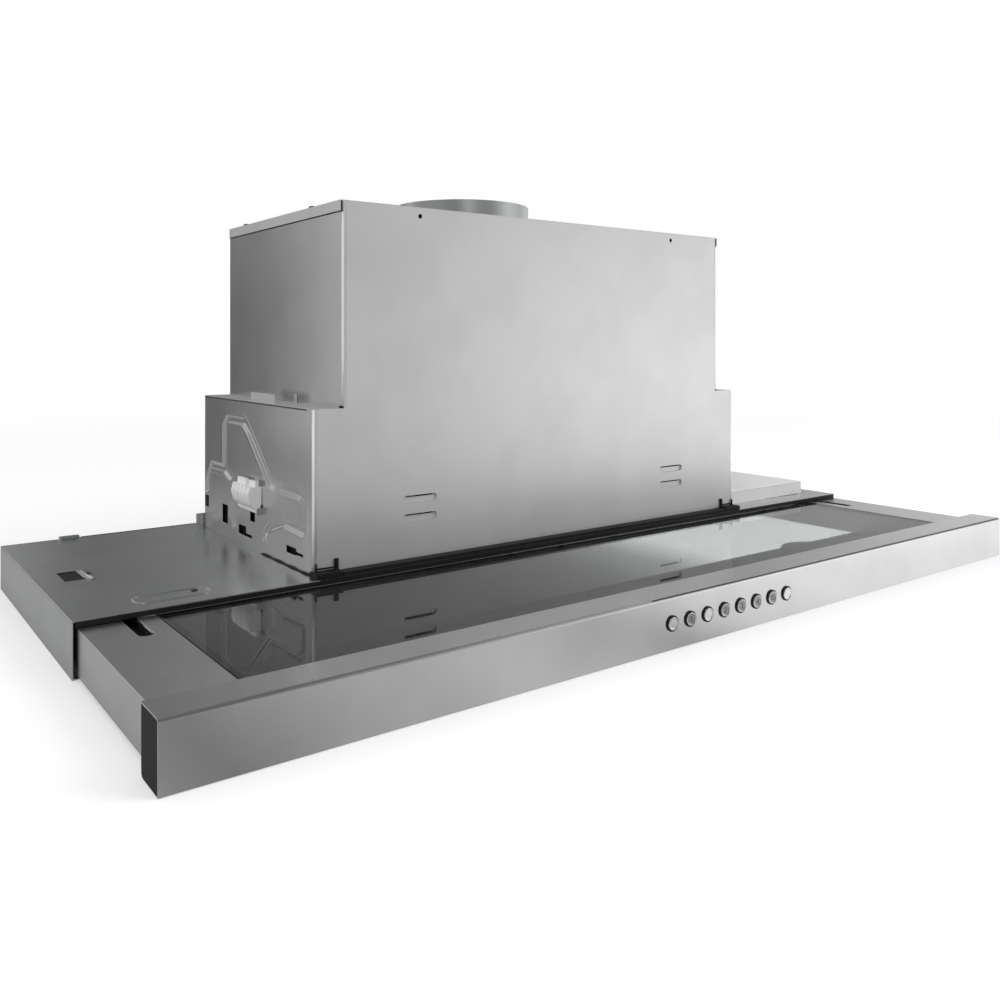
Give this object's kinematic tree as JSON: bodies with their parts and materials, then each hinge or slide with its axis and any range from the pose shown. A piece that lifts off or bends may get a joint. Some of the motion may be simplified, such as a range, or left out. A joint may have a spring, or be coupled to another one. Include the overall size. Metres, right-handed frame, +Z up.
{
  "type": "range hood",
  "caption": "Telescopic built-in range hood: flat tray under a folded metal body with a duct collar, and a pull-out front bar with push buttons and a tinted glass pane.",
  "frame": {"origin": "under the middle of the hood as pulled out, at the height of the tray's lower edge", "axes": "+X to the right along the front bar, +Y back to the wall, +Z up to the duct"},
  "size_m": [0.898, 0.4868, 0.379],
  "materials": {
    "tray_steel": "satin sheet, fine rolled grain",
    "rail_steel": "zinc plated, smooth",
    "body_steel": "satin sheet, fine upright grain",
    "screw_steel": "zinc plated, dull",
    "duct_metal": "galvanised, smooth",
    "flap_metal": "rolled sheet",
    "seal_rubber": "matte black",
    "black_plastic": "moulded, matte black",
    "white_plastic": "moulded, white",
    "circuit_board": "green solder mask",
    "scroll_plastic": "moulded, dark grey",
    "motor_paint": "black enamel",
    "motor_core": "varnished steel laminations",
    "bearing_steel": "ground",
    "bar_steel": "brushed lengthwise",
    "tinted_glass": "tinted, polished",
    "panel_steel": "silver paint, smooth",
    "frosted_lens": "frosted",
    "button_chrome": "satin chrome",
    "filter_mesh": "anodised",
    "latch_plastic": "moulded, dark grey"
  },
  "bodies": {
    "root": {"tray_top": "tray_steel", "tray_sides": "tray_steel", "tray_rear": "tray_steel", "filter_rail": "tray_steel", "slide_rails": "rail_steel", "front_panel": "body_steel", "rear_panel": "rail_steel", "upper_sides": "body_steel", "left_lower_side": "body_steel", "right_lower_side": "body_steel", "shoulders": "rail_steel", "top_cover": "body_steel", "cover_screws": "screw_steel", "duct_collar": "duct_metal", "flap_pin": "screw_steel", "front_seal": "seal_rubber", "corner_clips": "black_plastic", "control_box": "white_plastic", "control_cover": "white_plastic", "power_board": "circuit_board", "scroll_left": "scroll_plastic", "scroll_right": "scroll_plastic", "outlet_duct": "scroll_plastic", "fan_rails": "rail_steel", "fan_mounts": "seal_rubber", "motor_can": "motor_paint", "motor_stator": "motor_core", "motor_bearings": "bearing_steel", "motor_bracket": "rail_steel", "clamp_brackets": "rail_steel"},
    "pullout": {"front_bar": "bar_steel", "end_caps": "black_plastic", "side_arms": "bar_steel", "slide_members": "rail_steel", "crossbar": "rail_steel", "glass_pane": "tinted_glass", "glass_seal": "seal_rubber", "lamp_panel": "panel_steel", "lamp_housings": "white_plastic", "lamp_lenses": "frosted_lens", "button_bezels": "button_chrome", "switch_board": "circuit_board"},
    "button_1": {"button_1": "button_chrome"},
    "button_2": {"button_2": "button_chrome"},
    "button_3": {"button_3": "button_chrome"},
    "button_4": {"button_4": "button_chrome"},
    "button_5": {"button_5": "button_chrome"},
    "button_6": {"button_6": "button_chrome"},
    "button_7": {"button_7": "button_chrome"},
    "button_8": {"button_8": "button_chrome"},
    "impeller": {"impeller": "scroll_plastic", "motor_rotor": "motor_core"},
    "flap_front": {"flap_front": "flap_metal"},
    "flap_back": {"flap_back": "flap_metal"},
    "left_filter": {"left_filter": "filter_mesh"},
    "right_filter": {"right_filter": "filter_mesh"},
    "left_latch": {"left_latch": "latch_plastic"},
    "right_latch": {"right_latch": "latch_plastic"},
    "left_clamp": {"left_clamp": "white_plastic"},
    "right_clamp": {"right_clamp": "white_plastic"}
  },
  "joints": [
    {"name": "pullout_slide", "type": "slide", "parent": "root", "child": "pullout", "axis": [0, -1, 0], "range_m": [-0.167, 0]},
    {"name": "button_1_press", "type": "slide", "parent": "pullout", "child": "button_1", "axis": [0, 1, 0], "range_m": [0, 0.0015], "stiffness_N_per_m": 400, "springref_m": -0.001},
    {"name": "button_2_press", "type": "slide", "parent": "pullout", "child": "button_2", "axis": [0, 1, 0], "range_m": [0, 0.0015], "stiffness_N_per_m": 400, "springref_m": -0.001},
    {"name": "button_3_press", "type": "slide", "parent": "pullout", "child": "button_3", "axis": [0, 1, 0], "range_m": [0, 0.0015], "stiffness_N_per_m": 400, "springref_m": -0.001},
    {"name": "button_4_press", "type": "slide", "parent": "pullout", "child": "button_4", "axis": [0, 1, 0], "range_m": [0, 0.0015], "stiffness_N_per_m": 400, "springref_m": -0.001},
    {"name": "button_5_press", "type": "slide", "parent": "pullout", "child": "button_5", "axis": [0, 1, 0], "range_m": [0, 0.0015], "stiffness_N_per_m": 400, "springref_m": -0.001},
    {"name": "button_6_press", "type": "slide", "parent": "pullout", "child": "button_6", "axis": [0, 1, 0], "range_m": [0, 0.0015], "stiffness_N_per_m": 400, "springref_m": -0.001},
    {"name": "button_7_press", "type": "slide", "parent": "pullout", "child": "button_7", "axis": [0, 1, 0], "range_m": [0, 0.0015], "stiffness_N_per_m": 400, "springref_m": -0.001},
    {"name": "button_8_press", "type": "slide", "parent": "pullout", "child": "button_8", "axis": [0, 1, 0], "range_m": [0, 0.0015], "stiffness_N_per_m": 400, "springref_m": -0.001},
    {"name": "impeller_spin", "type": "hinge", "parent": "root", "child": "impeller", "pos_m": [0, 0.0804, 0.175], "axis": [1, 0, 0], "continuous": true},
    {"name": "flap_back_swing", "type": "hinge", "parent": "root", "child": "flap_back", "pos_m": [0, 0.1324, 0.354], "axis": [1, 0, 0], "range_deg": [0, 75]},
    {"name": "flap_front_swing", "type": "hinge", "parent": "root", "child": "flap_front", "pos_m": [0, 0.1324, 0.354], "axis": [-1, 0, 0], "range_deg": [0, 75]},
    {"name": "left_filter_swing", "type": "hinge", "parent": "root", "child": "left_filter", "pos_m": [0, 0.2364, 0.006], "axis": [1, 0, 0], "range_deg": [0, 75]},
    {"name": "left_latch_slide", "type": "slide", "parent": "left_filter", "child": "left_latch", "axis": [0, 1, 0], "range_m": [0, 0.006], "stiffness_N_per_m": 150, "springref_m": -0.002},
    {"name": "right_filter_swing", "type": "hinge", "parent": "root", "child": "right_filter", "pos_m": [0, 0.2364, 0.006], "axis": [1, 0, 0], "range_deg": [0, 75]},
    {"name": "right_latch_slide", "type": "slide", "parent": "right_filter", "child": "right_latch", "axis": [0, 1, 0], "range_m": [0, 0.006], "stiffness_N_per_m": 150, "springref_m": -0.002},
    {"name": "left_clamp_swing", "type": "hinge", "parent": "root", "child": "left_clamp", "pos_m": [-0.265, 0.0934, 0.078], "axis": [0, -1, 0], "range_deg": [0, 20]},
    {"name": "right_clamp_swing", "type": "hinge", "parent": "root", "child": "right_clamp", "pos_m": [0.265, 0.0934, 0.078], "axis": [0, 1, 0], "range_deg": [0, 20]}
  ]
}
